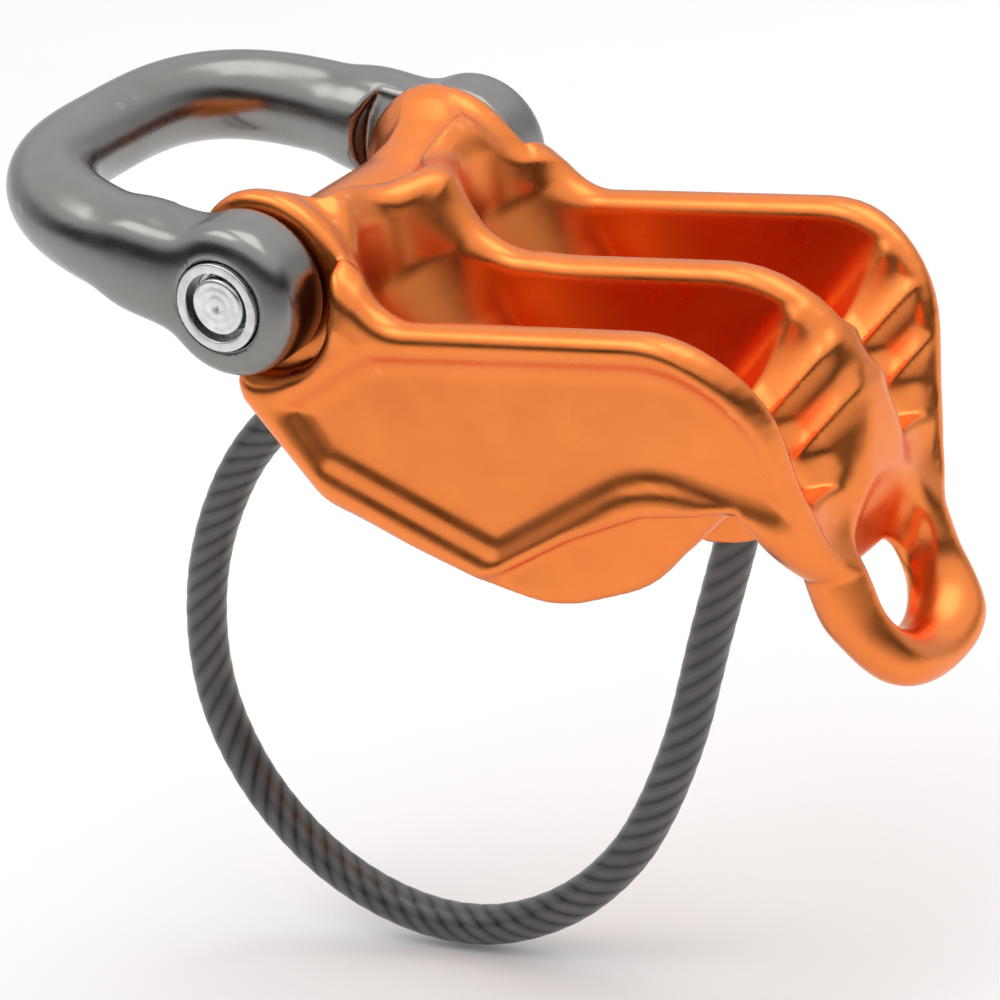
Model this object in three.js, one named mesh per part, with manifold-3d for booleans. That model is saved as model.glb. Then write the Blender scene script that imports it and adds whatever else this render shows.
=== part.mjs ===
// A pivoting rope descender: a forged body with two rope slots and a nose eyelet, a swinging
// attachment shackle on two stub pins, and a sheathed wire keeper loop.
// Millimetres. X runs from the shackle towards the nose, Y across the body, +Z up.
// The origin is on the shackle's pivot axis, midway between the two pins.
import * as THREE from 'three';
import { mergeVertices } from 'three/addons/utils/BufferGeometryUtils.js';
import Module from 'manifold-3d';

const wasm = await Module();
wasm.setup();

// ---- driving dimensions ----
const SLOT_PITCH = 16; // centre of the middle wall to the centre of a side wall
const WALL = 3.4; // thickness of each of the three walls
const SIDE_FACE = SLOT_PITCH + WALL / 2; // outer face of a side wall
const SIDE_INNER = SLOT_PITCH - WALL / 2; // slot face of a side wall
const TOP_Z = -2.7; // flat top edge of the walls
const FAR = 90; // length of a cutter that runs right through

// the side walls draw in towards the nose, along a direction that falls to the rear
const TAPER = { x: 38, z: -4, curve: 0.0172, maxInset: 8.2, steps: 12, direction: [5, 0, -4] };
const NOSE_RADIUS = 9.5; // round end of the nose, seen from the rear
const NOSE_CENTRE_Z = -28.9;
const EYELET_RADIUS = 4.8;
const EYELET_TOP_Z = -25; // centre of the eyelet's upper round
const EYELET_FRONT_X = 40.5; // the eyelet is cut from here to the rear

const BOSS_RADIUS = 7; // body boss that carries a pin
const BOSS_FACE = 14.8; // where the boss ends and the shackle eye begins
const NECK_RADIUS = 3.6; // crossbar between the bosses, at its thinnest
const NECK_HALF = 3; // the neck swells into the bosses between these two distances from the middle
const NECK_END = 13;
const NECK_STEPS = 8;
const RECESS_RADIUS = 7.4; // clearance round the shackle eye in the side wall
const RIB_RADIUS = 1.9; // crest rib that joins the bosses to the middle wall
const RIB_SIDES = 12;
const RIB_STEPS = 14;
const CREST_ROUTE = [
  [0.8, -13.2, 4.6], [5, -9.4, 4], [5.9, -5, 3.4], [7.8, 0, 2.6],
  [5.9, 5, 3.4], [5, 9.4, 4], [0.8, 13.2, 4.6],
];

const PIN_RADIUS = 2.4;
const PIN_INNER = 8;
const PIN_OUTER = 21.35;
const PIN_CHAMFER = 0.25;
const FIT = 0.08; // radial clearance of a pressed or running fit
const BUSH_RADIUS = 3.75;
const BUSH_COUNTERBORE = { radius: 2.9, depth: 0.7 };
const BUSH_SUNK = 0.1; // how far the bush's end lies under the eye's

const EYE_RADIUS = 6.5; // shackle eye
const EYE_INNER = 15.1;
const EYE_OUTER = 21.6;
const EYE_INNER_CHAMFER = 0.8;
const EYE_OUTER_EDGE = [[0, -1.7], [-0.4, -0.6], [-1.3, 0]]; // rounded edge: steps in radius and along Y
const SHACKLE_TILT = 17; // degrees, ring raised above -X in the stored pose
// the ring's centre line is half a superellipse, and runs on past the eyes' middles by the overrun
const RING = { start: 4.2, reach: 21.1, half: 17.4, power: 0.665, radius: 3.8, overrun: 0.6 };
const RING_SIDES = 16;
const RING_POINTS = 16;
const RING_STEPS = 44;

const POCKET_DEPTH = 1.1;
const LOBE_STEP = 1.7; // how far the lower lobes stand in from the side faces

const CABLE_RADIUS = 1.8;
const CORE_RADIUS = 1.2;
const CORE_END_RADIUS = 1.1; // the straight run of wire inside the ferrule
const SHEATH_BORE = 1.4;
const SOCKET_RADIUS = 2.4;
const SOCKET_DEPTH = 8;
const SOCKET_OVERRUN = 6; // how far a socket's cutter stands out of its mouth
const SOCKET_BOSS = { radius: 3.9, proud: 0.3, wall: 1 };
const FERRULE = { radius: 2.25, bore: 1.35, length: 6.4 };
const NODE_GAP = 0.3;

const ARC_STEP = 0.26; // largest turn, in radians, between the points of a rounded corner
const ROUND_SIDES = 48;
const ROD_SIDES = 24;
const REAR_SEGMENTS = 24;
const CABLE_SIDES = 8;
const CABLE_STEPS = 34;

// ---- outlines: [x, z, corner radius], seen from -Y ----
const WALL_OUTLINE = [
  [-3.5, 5.6, 2], [-0.5, 6.9, 1], [14.6, TOP_Z, 8], [47.5, TOP_Z, 12.6], [47.7, -17, 4], [47.5, -22.5, 9],
  [50.4, -34.5, 6], [50.3, -38.1, 2.6], [45, -38.1, 2.6], [43.6, -29, 6], [43.4, -22, 3], [42, -18.7, 2],
  [39.4, -18.7, 0.8], [26.5, -28.9, 10], [3.5, -18.6, 5], [-3.4, -8.2, 1.5], [-4.5, 0, 2],
];
const MIDDLE_WALL_TOP = [
  [3, -6, 0], [6.6, 5.4, 1], [9.7, 5.4, 1.2], [14.6, TOP_Z, 7], [20, TOP_Z, 0], [20, -10, 0],
];
const SLOT_VOID = [
  [6.6, 20, 0], [7.2, 3.6, 0], [9.4, -5, 4], [14.5, -15, 8], [21.4, -25.4, 0.6], [21.4, -45, 0],
  [37, -45, 0], [38.2, -19.5, 0.5], [37, -12.5, 1], [62, 13.5, 0], [62, 20, 0],
];
const POCKET_OUTLINE = [
  [0.9, -10, 1.2], [4.2, -15.4, 2], [19.6, -22.9, 2.2], [34.5, -15.3, 7], [45.6, -20.2, 0.7],
  [46, -4.4, 10.5], [10.6, -4.9, 3],
];
const LOBE_OUTLINE = [
  [15.6, -25.6, 0.5], [26.6, -20.4, 5], [33.5, -18.1, 5], [41, -18.1, 0], [41, -32, 0], [20, -36, 0],
];

// the space in front of the front block, between the side walls
const FRONT_SPACE = [
  [7.2, 3.6, 0], [3, 2.3, 3], [0, 2.6, 0.5], [-3.2, 1, 1], [-4, -5, 1], [-3.4, -8.2, 0], [-20, -9, 0],
  [-20, 20, 0], [7.2, 20, 0],
];

// ---- the rope's V channel at the rear of each slot ----
const CHANNEL = {
  start: new THREE.Vector3(36.2, 8, -11.7),
  end: new THREE.Vector3(43.5, 5.5, -18.8),
  shelfZ: -18.8,
  overrun: { front: 12, rear: 12 },
  bottomHalf: 1,
  flankHeight: 8.5,
  openHeight: 30,
  topHalf: SIDE_INNER / 2 - WALL / 4,
};

// ---- the keeper loop's route, in the plane y = 0 ----
const CABLE_ROUTE = [
  [-0.6, -12.8], [-3.6, -13.9], [-7.2, -15.6], [-10.6, -17.5], [-13.5, -19.7], [-16.1, -22.2],
  [-18.6, -25.4], [-21, -29.4], [-22.8, -33.6], [-23.9, -37.8], [-24.4, -42], [-24.2, -46.2],
  [-23.2, -50.2], [-21.5, -54], [-19, -57.6], [-15.8, -60.8], [-12, -63.3], [-7.8, -65],
  [-3.4, -65.8], [1.2, -65.6], [5.6, -64.4], [9.8, -62.4], [13.6, -59.7], [17, -56.4],
  [19.8, -52.6], [22.2, -48.6], [24.4, -44.3], [26.2, -40], [28, -35.6], [30, -31], [32.6, -25],
];
const SHEATH_OVERRUN = 1; // how far the sheath and the wire go in past the socket's mouth
const CORE_OVERRUN = 6.5;

const MATERIALS = {
  anodised: new THREE.MeshStandardMaterial({ color: '#e0692c', roughness: 0.38, metalness: 0.85 }),
  gunmetal: new THREE.MeshStandardMaterial({ color: '#5c5a57', roughness: 0.32, metalness: 0.9 }),
  steel: new THREE.MeshStandardMaterial({ color: '#d2d2d0', roughness: 0.3, metalness: 1 }),
  wire: new THREE.MeshStandardMaterial({ color: '#8d8d8b', roughness: 0.4, metalness: 1 }),
  sheath: new THREE.MeshStandardMaterial({ color: '#3f4040', roughness: 0.45, metalness: 0 }),
};

// ---- helpers ----
function toSolid(geometry) {
  const plain = geometry.index ? geometry.toNonIndexed() : geometry.clone();
  plain.deleteAttribute('normal');
  plain.deleteAttribute('uv');
  const merged = mergeVertices(plain, 1e-4);
  const mesh = new wasm.Mesh({
    numProp: 3,
    vertProperties: new Float32Array(merged.attributes.position.array),
    triVerts: new Uint32Array(merged.index.array),
  });
  mesh.merge();
  return new wasm.Manifold(mesh);
}

function toGeometry(solid) {
  const mesh = solid.getMesh();
  const geometry = new THREE.BufferGeometry();
  geometry.setAttribute('position', new THREE.BufferAttribute(mesh.vertProperties, mesh.numProp));
  geometry.setIndex(new THREE.BufferAttribute(mesh.triVerts, 1));
  geometry.computeVertexNormals();
  return geometry;
}

// A closed outline whose corners are rounded to the radius that each point gives.
function roundedShape(outline) {
  const shape = new THREE.Shape();
  outline.forEach(([x, z, radius], i) => {
    const corner = new THREE.Vector2(x, z);
    const before = outline.at(i - 1);
    const after = outline[(i + 1) % outline.length];
    const back = new THREE.Vector2(before[0] - x, before[1] - z).normalize();
    const ahead = new THREE.Vector2(after[0] - x, after[1] - z).normalize();
    const half = Math.acos(THREE.MathUtils.clamp(back.dot(ahead), -1, 1)) / 2;
    const reach = radius / Math.tan(half);
    const enter = corner.clone().addScaledVector(back, reach);
    const leave = corner.clone().addScaledVector(ahead, reach);
    if (i === 0) shape.moveTo(enter.x, enter.y);
    else shape.lineTo(enter.x, enter.y);
    if (radius > 0) roundCorner(shape, corner, enter, leave, radius, back.add(ahead).normalize(), half);
  });
  shape.closePath();
  return shape;
}

function roundCorner(shape, corner, enter, leave, radius, inward, half) {
  const centre = corner.clone().addScaledVector(inward, radius / Math.sin(half));
  const from = Math.atan2(enter.y - centre.y, enter.x - centre.x);
  const turn = enter.clone().sub(centre).cross(leave.clone().sub(centre));
  const sweep = Math.sign(turn) * (Math.PI - 2 * half);
  const steps = Math.max(2, Math.ceil(Math.abs(sweep) / ARC_STEP));
  for (let k = 1; k <= steps; k += 1) {
    const angle = from + (sweep * k) / steps;
    shape.lineTo(centre.x + radius * Math.cos(angle), centre.y + radius * Math.sin(angle));
  }
}

// A side outline (x, z) made solid from y0 to y1.
function plate(outline, y0, y1) {
  const settings = { depth: y1 - y0, bevelEnabled: false };
  const geometry = new THREE.ExtrudeGeometry(roundedShape(outline), settings);
  geometry.rotateX(Math.PI / 2);
  geometry.translate(0, y1, 0);
  return toSolid(geometry);
}

// A rear outline (y, z) made solid from x0 to x1.
function rearPlate(shape, x0, x1) {
  const settings = { depth: x1 - x0, bevelEnabled: false, curveSegments: REAR_SEGMENTS };
  const geometry = new THREE.ExtrudeGeometry(shape, settings);
  const basis = new THREE.Matrix4().makeBasis(
    new THREE.Vector3(0, 1, 0), new THREE.Vector3(0, 0, 1), new THREE.Vector3(1, 0, 0));
  geometry.applyMatrix4(basis);
  geometry.translate(x0, 0, 0);
  return toSolid(geometry);
}

// A body turned about the pivot axis: profile points are [radius, y], mirrored to -Y for side -1.
function turned(profile, side = 1) {
  const points = profile.map(([radius, y]) => new THREE.Vector2(radius, side * y));
  if (side < 0) points.reverse();
  return toSolid(new THREE.LatheGeometry(points, ROUND_SIDES));
}

function discY(radius, y0, y1, side = 1) {
  return turned([[0, y0], [radius, y0], [radius, y1], [0, y1]], side);
}

function rod(from, to, radius) {
  const geometry = new THREE.CylinderGeometry(radius, radius, from.distanceTo(to), ROD_SIDES);
  const aim = new THREE.Vector3().subVectors(to, from).normalize();
  geometry.applyQuaternion(new THREE.Quaternion().setFromUnitVectors(new THREE.Vector3(0, 1, 0), aim));
  const middle = from.clone().add(to).multiplyScalar(0.5);
  geometry.translate(middle.x, middle.y, middle.z);
  return toSolid(geometry);
}

function circle(radius, sides) {
  const shape = new THREE.Shape();
  for (let k = 0; k < sides; k += 1) {
    const angle = (2 * Math.PI * k) / sides;
    const point = [radius * Math.cos(angle), radius * Math.sin(angle)];
    if (k === 0) shape.moveTo(...point);
    else shape.lineTo(...point);
  }
  shape.closePath();
  return shape;
}

// A point of the plane y = 0 from an [x, z] pair.
function onPlane([x, z]) {
  return new THREE.Vector3(x, 0, z);
}

const FRONT_MOUTH = onPlane(CABLE_ROUTE[0]);
const FRONT_INWARD = FRONT_MOUTH.clone().sub(onPlane(CABLE_ROUTE[1])).normalize();
const REAR_MOUTH = onPlane(CABLE_ROUTE.at(-1));
const REAR_INWARD = REAR_MOUTH.clone().sub(onPlane(CABLE_ROUTE.at(-2))).normalize();

// ---- body ----
// Everything between two side faces that draw in towards the nose.
function taperedBlock(halfWidth) {
  const shape = new THREE.Shape();
  const lastStep = Math.sqrt(TAPER.maxInset / TAPER.curve);
  const edge = [[-FAR, halfWidth]];
  for (let k = 0; k <= TAPER.steps; k += 1) {
    const along = (lastStep * k) / TAPER.steps;
    edge.push([along, halfWidth - TAPER.curve * along * along]);
  }
  edge.push([FAR, halfWidth - TAPER.maxInset]);
  edge.forEach(([along, y], i) => (i === 0 ? shape.moveTo(along, y) : shape.lineTo(along, y)));
  edge.reverse().forEach(([along, y]) => shape.lineTo(along, -y));
  shape.closePath();
  const geometry = new THREE.ExtrudeGeometry(shape, { depth: 2 * FAR, bevelEnabled: false });
  const along = new THREE.Vector3(...TAPER.direction).normalize();
  const across = new THREE.Vector3(0, 1, 0);
  const up = new THREE.Vector3().crossVectors(along, across);
  geometry.translate(0, 0, -FAR);
  geometry.applyMatrix4(new THREE.Matrix4().makeBasis(along, across, up));
  geometry.translate(TAPER.x, 0, TAPER.z);
  return toSolid(geometry);
}

function crossbar() {
  const profile = [[0, -BOSS_FACE], [BOSS_RADIUS, -BOSS_FACE]];
  for (let k = -NECK_STEPS; k <= NECK_STEPS; k += 1) {
    const y = (NECK_END * k) / NECK_STEPS;
    const rise = THREE.MathUtils.smoothstep(Math.abs(y), NECK_HALF, NECK_END);
    profile.push([NECK_RADIUS + (BOSS_RADIUS - NECK_RADIUS) * rise, y]);
  }
  profile.push([BOSS_RADIUS, BOSS_FACE], [0, BOSS_FACE]);
  return turned(profile);
}

function crestRib() {
  const extrudePath = new THREE.CatmullRomCurve3(CREST_ROUTE.map((point) => new THREE.Vector3(...point)));
  const settings = { steps: RIB_STEPS, extrudePath };
  return toSolid(new THREE.ExtrudeGeometry(circle(RIB_RADIUS, RIB_SIDES), settings));
}

function eyeletShape() {
  const shape = new THREE.Shape();
  shape.absarc(0, EYELET_TOP_Z, EYELET_RADIUS, 0, Math.PI, false);
  shape.absarc(0, NOSE_CENTRE_Z, EYELET_RADIUS, Math.PI, 2 * Math.PI, false);
  shape.closePath();
  return shape;
}

// Seen from the rear: everything above the nose, and the nose's round end.
function noseShape() {
  const shape = new THREE.Shape();
  shape.moveTo(FAR, FAR);
  shape.lineTo(-FAR, FAR);
  shape.lineTo(-FAR, NOSE_CENTRE_Z);
  shape.lineTo(-NOSE_RADIUS, NOSE_CENTRE_Z);
  shape.absarc(0, NOSE_CENTRE_Z, NOSE_RADIUS, Math.PI, 2 * Math.PI, false);
  shape.lineTo(FAR, NOSE_CENTRE_Z);
  shape.closePath();
  return shape;
}

// The V channel that a rope lies in at the rear of the slot on one side.
function ropeChannel(side) {
  const start = CHANNEL.start.clone().multiply(new THREE.Vector3(1, side, 1));
  const end = CHANNEL.end.clone().multiply(new THREE.Vector3(1, side, 1));
  const along = new THREE.Vector3().subVectors(end, start).normalize();
  const across = new THREE.Vector3(0, 1, 0).addScaledVector(along, -along.y).normalize();
  const out = new THREE.Vector3().crossVectors(along, across);
  const { bottomHalf, flankHeight, topHalf, openHeight } = CHANNEL;
  const right = [[bottomHalf, 0], [topHalf, flankHeight], [topHalf, openHeight]];
  const left = right.map(([y, height]) => [-y, height]).reverse();
  const shape = new THREE.Shape([...right, ...left].map((point) => new THREE.Vector2(...point)));
  const depth = start.distanceTo(end) + CHANNEL.overrun.front + CHANNEL.overrun.rear;
  const geometry = new THREE.ExtrudeGeometry(shape, { depth, bevelEnabled: false });
  geometry.applyMatrix4(new THREE.Matrix4().makeBasis(across, out, along));
  const foot = start.addScaledVector(along, -CHANNEL.overrun.front);
  geometry.translate(foot.x, foot.y, foot.z);
  const { shelfZ } = CHANNEL;
  const aboveShelf = [[-FAR, shelfZ, 0], [FAR, shelfZ, 0], [FAR, FAR, 0], [-FAR, FAR, 0]];
  return toSolid(geometry).intersect(plate(aboveShelf, -FAR, FAR));
}

// A pocket sunk into the side face, with a floor that follows the drawn-in face.
function sidePocket(outline, side, depth) {
  const slab = side > 0 ? plate(outline, SLOT_PITCH / 2, FAR) : plate(outline, -FAR, -SLOT_PITCH / 2);
  return slab.subtract(taperedBlock(SIDE_FACE - depth));
}

// A straight cutter for the cable's socket, or the material round it.
function socketRod(mouth, inward, radius, outside, inside) {
  const from = mouth.clone().addScaledVector(inward, -outside);
  return rod(from, mouth.clone().addScaledVector(inward, inside), radius);
}

function makeBody() {
  const envelope = plate(WALL_OUTLINE, -SIDE_FACE, SIDE_FACE)
    .intersect(taperedBlock(SIDE_FACE))
    .intersect(rearPlate(noseShape(), -FAR, FAR));
  let body = envelope.subtract(plate(FRONT_SPACE, -SIDE_INNER, SIDE_INNER));
  for (const [y0, y1] of [[WALL / 2, SIDE_INNER], [-SIDE_INNER, -WALL / 2]]) {
    body = body.subtract(plate(SLOT_VOID, y0, y1).intersect(taperedBlock(SIDE_INNER)));
  }
  const { radius, proud, wall } = SOCKET_BOSS;
  body = body
    .add(plate(MIDDLE_WALL_TOP, -WALL / 2, WALL / 2))
    .add(crossbar())
    .add(crestRib())
    .add(socketRod(REAR_MOUTH, REAR_INWARD, radius, proud, SOCKET_DEPTH + wall));
  for (const side of [-1, 1]) {
    body = body
      .subtract(discY(RECESS_RADIUS, BOSS_FACE, FAR, side))
      .subtract(sidePocket(POCKET_OUTLINE, side, POCKET_DEPTH))
      .subtract(sidePocket(LOBE_OUTLINE, side, LOBE_STEP))
      .subtract(ropeChannel(side))
      .subtract(discY(PIN_RADIUS + FIT, PIN_INNER - NODE_GAP, FAR, side));
  }
  return body
    .subtract(rearPlate(eyeletShape(), EYELET_FRONT_X, FAR))
    .subtract(socketRod(FRONT_MOUTH, FRONT_INWARD, SOCKET_RADIUS, SOCKET_OVERRUN, SOCKET_DEPTH))
    .subtract(socketRod(REAR_MOUTH, REAR_INWARD, SOCKET_RADIUS, SOCKET_OVERRUN, SOCKET_DEPTH));
}

// ---- shackle, its pins and bushes ----
function ringPath() {
  const points = [new THREE.Vector3(0, -RING.half - RING.overrun, 0)];
  for (let k = 0; k <= RING_POINTS; k += 1) {
    const angle = Math.PI * (k / RING_POINTS - 0.5);
    const reach = RING.start + RING.reach * Math.max(0, Math.cos(angle)) ** RING.power;
    const across = RING.half * Math.sign(Math.sin(angle)) * Math.abs(Math.sin(angle)) ** RING.power;
    points.push(new THREE.Vector3(-reach, across, 0));
  }
  points.push(new THREE.Vector3(0, RING.half + RING.overrun, 0));
  return new THREE.CatmullRomCurve3(points, false, 'centripetal');
}

function shackleEye(side) {
  const profile = [
    [0, EYE_INNER],
    [EYE_RADIUS - EYE_INNER_CHAMFER, EYE_INNER],
    [EYE_RADIUS, EYE_INNER + EYE_INNER_CHAMFER],
    ...EYE_OUTER_EDGE.map(([radius, y]) => [EYE_RADIUS + radius, EYE_OUTER + y]),
    [0, EYE_OUTER],
  ];
  return turned(profile, side);
}

function makeShackle() {
  const settings = { steps: RING_STEPS, extrudePath: ringPath() };
  const ring = new THREE.ExtrudeGeometry(circle(RING.radius, RING_SIDES), settings);
  let shackle = toSolid(ring).subtract(discY(RECESS_RADIUS, -EYE_INNER, EYE_INNER));
  for (const side of [-1, 1]) {
    shackle = shackle
      .add(shackleEye(side))
      .subtract(discY(BUSH_RADIUS + FIT, EYE_INNER - 1, FAR, side));
  }
  return shackle;
}

function makeBush(side) {
  const inner = PIN_RADIUS + FIT;
  const { radius, depth } = BUSH_COUNTERBORE;
  const from = EYE_INNER + NODE_GAP;
  const to = EYE_OUTER - BUSH_SUNK;
  const profile = [
    [inner, from], [BUSH_RADIUS, from], [BUSH_RADIUS, to], [radius, to],
    [radius, to - depth], [inner, to - depth], [inner, from],
  ];
  return turned(profile, side);
}

function makePin(side) {
  const profile = [
    [0, PIN_INNER], [PIN_RADIUS - PIN_CHAMFER, PIN_INNER], [PIN_RADIUS, PIN_INNER + PIN_CHAMFER],
    [PIN_RADIUS, PIN_OUTER - PIN_CHAMFER], [PIN_RADIUS - PIN_CHAMFER, PIN_OUTER], [0, PIN_OUTER],
  ];
  return turned(profile, side);
}

// ---- keeper loop ----
function alongCable(section) {
  const points = CABLE_ROUTE.map(onPlane);
  points.unshift(FRONT_MOUTH.clone().addScaledVector(FRONT_INWARD, SHEATH_OVERRUN));
  points.push(REAR_MOUTH.clone().addScaledVector(REAR_INWARD, SHEATH_OVERRUN));
  const extrudePath = new THREE.CatmullRomCurve3(points, false, 'centripetal');
  return toSolid(new THREE.ExtrudeGeometry(section, { steps: CABLE_STEPS, extrudePath }));
}

function makeSheath() {
  const section = circle(CABLE_RADIUS, CABLE_SIDES);
  section.holes.push(circle(SHEATH_BORE, CABLE_SIDES));
  return alongCable(section);
}

// The wire: the sheath's route, and a straight run on into each ferrule.
function makeCore() {
  return alongCable(circle(CORE_RADIUS, CABLE_SIDES))
    .add(socketRod(FRONT_MOUTH, FRONT_INWARD, CORE_END_RADIUS, -SHEATH_OVERRUN / 2, CORE_OVERRUN))
    .add(socketRod(REAR_MOUTH, REAR_INWARD, CORE_END_RADIUS, -SHEATH_OVERRUN / 2, CORE_OVERRUN));
}

function makeFerrule(mouth, inward) {
  const from = SHEATH_OVERRUN + NODE_GAP;
  const outer = socketRod(mouth, inward, FERRULE.radius, -from, from + FERRULE.length);
  return outer.subtract(socketRod(mouth, inward, FERRULE.bore, 0, FAR));
}

// ---- assembly ----
function named(name, geometry, material) {
  const mesh = new THREE.Mesh(geometry, MATERIALS[material]);
  mesh.name = name;
  return mesh;
}

const descender = new THREE.Group();
descender.add(named('body', toGeometry(makeBody()), 'anodised'));
descender.add(named('cable_sheath', toGeometry(makeSheath()), 'sheath'));
descender.add(named('cable_core', toGeometry(makeCore()), 'wire'));
descender.add(named('cable_ferrule_front', toGeometry(makeFerrule(FRONT_MOUTH, FRONT_INWARD)), 'steel'));
descender.add(named('cable_ferrule_rear', toGeometry(makeFerrule(REAR_MOUTH, REAR_INWARD)), 'steel'));

const swing = new THREE.Group();
swing.rotation.y = THREE.MathUtils.degToRad(SHACKLE_TILT);
swing.add(named('shackle', toGeometry(makeShackle()), 'gunmetal'));
for (const [name, side] of [['right', -1], ['left', 1]]) {
  descender.add(named(`pivot_pin_${name}`, toGeometry(makePin(side)), 'steel'));
  swing.add(named(`pivot_bush_${name}`, toGeometry(makeBush(side)), 'steel'));
}
descender.add(swing);

export default descender;
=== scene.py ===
# A pivoting rope descender: the detailed visual model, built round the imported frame.
import math

import bmesh
import bpy
import numpy as np
from mathutils import Matrix, Vector


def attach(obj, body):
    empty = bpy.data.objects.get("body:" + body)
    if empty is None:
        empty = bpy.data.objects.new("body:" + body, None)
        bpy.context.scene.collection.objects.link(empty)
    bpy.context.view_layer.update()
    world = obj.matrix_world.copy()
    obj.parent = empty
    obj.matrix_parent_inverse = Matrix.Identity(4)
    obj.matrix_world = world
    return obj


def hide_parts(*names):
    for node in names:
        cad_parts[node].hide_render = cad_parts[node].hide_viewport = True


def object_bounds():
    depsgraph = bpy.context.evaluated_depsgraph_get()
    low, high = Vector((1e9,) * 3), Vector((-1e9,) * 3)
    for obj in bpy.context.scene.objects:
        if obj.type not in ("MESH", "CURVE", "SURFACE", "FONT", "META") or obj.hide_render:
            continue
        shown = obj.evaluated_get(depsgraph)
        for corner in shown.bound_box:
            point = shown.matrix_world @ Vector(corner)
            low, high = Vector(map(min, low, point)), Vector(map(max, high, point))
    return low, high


MM = 0.001  # the sizes below are in millimetres, and Blender's are in metres

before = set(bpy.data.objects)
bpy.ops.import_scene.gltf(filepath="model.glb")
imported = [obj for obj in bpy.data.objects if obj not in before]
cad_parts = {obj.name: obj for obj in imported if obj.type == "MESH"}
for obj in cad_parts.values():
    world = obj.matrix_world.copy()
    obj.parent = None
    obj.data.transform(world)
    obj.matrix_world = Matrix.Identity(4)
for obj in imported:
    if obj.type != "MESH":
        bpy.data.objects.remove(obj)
CAD_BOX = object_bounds()

# ---------------------------------------------------------------- camera
CAMERA_PLACE = (224.1, -311.7, 115.7)  # millimetres; the three directions below are unit vectors
CAMERA_RIGHT = (0.84483, 0.51132, -0.15692)
CAMERA_UP = (-0.05672, 0.37725, 0.92401)
CAMERA_BACK = (0.532, -0.77174, 0.34771)
CAMERA_LENS = 172.9
SENSOR_WIDTH = 36.0
CLIP_RANGE = (0.01, 10.0)  # metres


def make_camera():
    """A long lens, looking down on the body from its right side and from behind its nose."""
    data = bpy.data.cameras.new("camera")
    data.lens = CAMERA_LENS
    data.sensor_width = SENSOR_WIDTH
    data.clip_start, data.clip_end = CLIP_RANGE
    camera = bpy.data.objects.new("camera", data)
    bpy.context.scene.collection.objects.link(camera)
    axes = Matrix((CAMERA_RIGHT, CAMERA_UP, CAMERA_BACK)).transposed().to_4x4()
    camera.matrix_world = Matrix.Translation(Vector(CAMERA_PLACE) * MM) @ axes
    bpy.context.scene.camera = camera


make_camera()

# ---------------------------------------------------------------- dimensions, in millimetres
# X runs from the shackle towards the nose, Y across the body and Z up. The origin is on the pivot axis.
SLOT_PITCH = 16.0  # middle of the middle wall to the middle of a side wall
WALL = 3.4
SIDE_FACE = SLOT_PITCH + WALL / 2
SIDE_INNER = SLOT_PITCH - WALL / 2
TOP_Z = -2.7

PIN_RADIUS = 2.4
PIN_INNER = 8.0
BUSH_RADIUS = 3.75
BUSH_BORE = 2.48
EYE_RADIUS = 6.5
EYE_INNER = 15.1
EYE_OUTER = 21.6
BOSS_FACE = 14.8  # where the body's boss ends, just inside the shackle's eye

# Outlines are (x, z, corner radius), seen from -Y.
NOSE_OUTLINE = [
    (48.6, -29.2, 8), (51.3, -34.4, 5), (51.1, -37.9, 2.6), (46.5, -37.9, 3.2), (43.0, -30.8, 7),
    (41.6, -22, 3), (41, -18.7, 2), (39.5, -18.7, 0.8), (32.3, -25.2, 9), (23.9, -27.1, 8),
    (3.5, -18.6, 5), (-2.9, -9.8, 1.5), (-4.3, 0, 2),
]
MIDDLE_OUTLINE = [
    (-3.5, 5.6, 2), (-0.5, 6.9, 1), (14.6, TOP_Z, 8), (47.4, TOP_Z, 12.6), (46.9, -17, 4),
    (46.5, -22, 6),
] + NOSE_OUTLINE
SIDE_OUTLINE = [
    (-3.5, 5.6, 2), (-0.5, 6.9, 1), (4.6, 5.4, 4), (12.9, TOP_Z, 4.5), (45.6, TOP_Z, 10.5),
    (45.9, -17, 4), (46.3, -22, 6),
] + NOSE_OUTLINE
MIDDLE_TOP = [
    (3, -6, 0), (6.2, 4.3, 1), (8.8, 4.6, 2), (13.2, TOP_Z, 6), (17.5, TOP_Z - 0.1, 3), (25, -5, 0),
    (25, -10, 0),
]
OPEN_FRONT = [(-8, 20, 0), (-8, -9, 0), (-2.6, -9, 0), (-3.2, 1, 1), (10, 1, 0), (10, 20, 0)]
SLOT_VOID = [
    (6.8, 20, 0), (6.8, 2, 0), (7.2, -2.5, 4), (10.2, -8.5, 5), (14.5, -15, 8), (21.4, -25.4, 0.6),
    (21.4, -45, 0), (37, -45, 0), (38.2, -19.5, 0.5), (37, -12.5, 1), (62, 13.5, 0), (62, 20, 0),
]
POCKET_OUTLINE = [
    (0.9, -10, 1.2), (4.2, -15.4, 2), (19.6, -22.9, 2.2), (34.5, -15.3, 7), (45.6, -20.2, 0.7),
    (46, -4.4, 10.5), (10.6, -4.9, 3),
]
LOBE_OUTLINE = [
    (15.6, -25.6, 0.5), (26.6, -20.4, 5), (33.5, -18.1, 5), (41, -18.1, 0), (41, -34, 0),
    (14, -38, 0),
]

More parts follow.
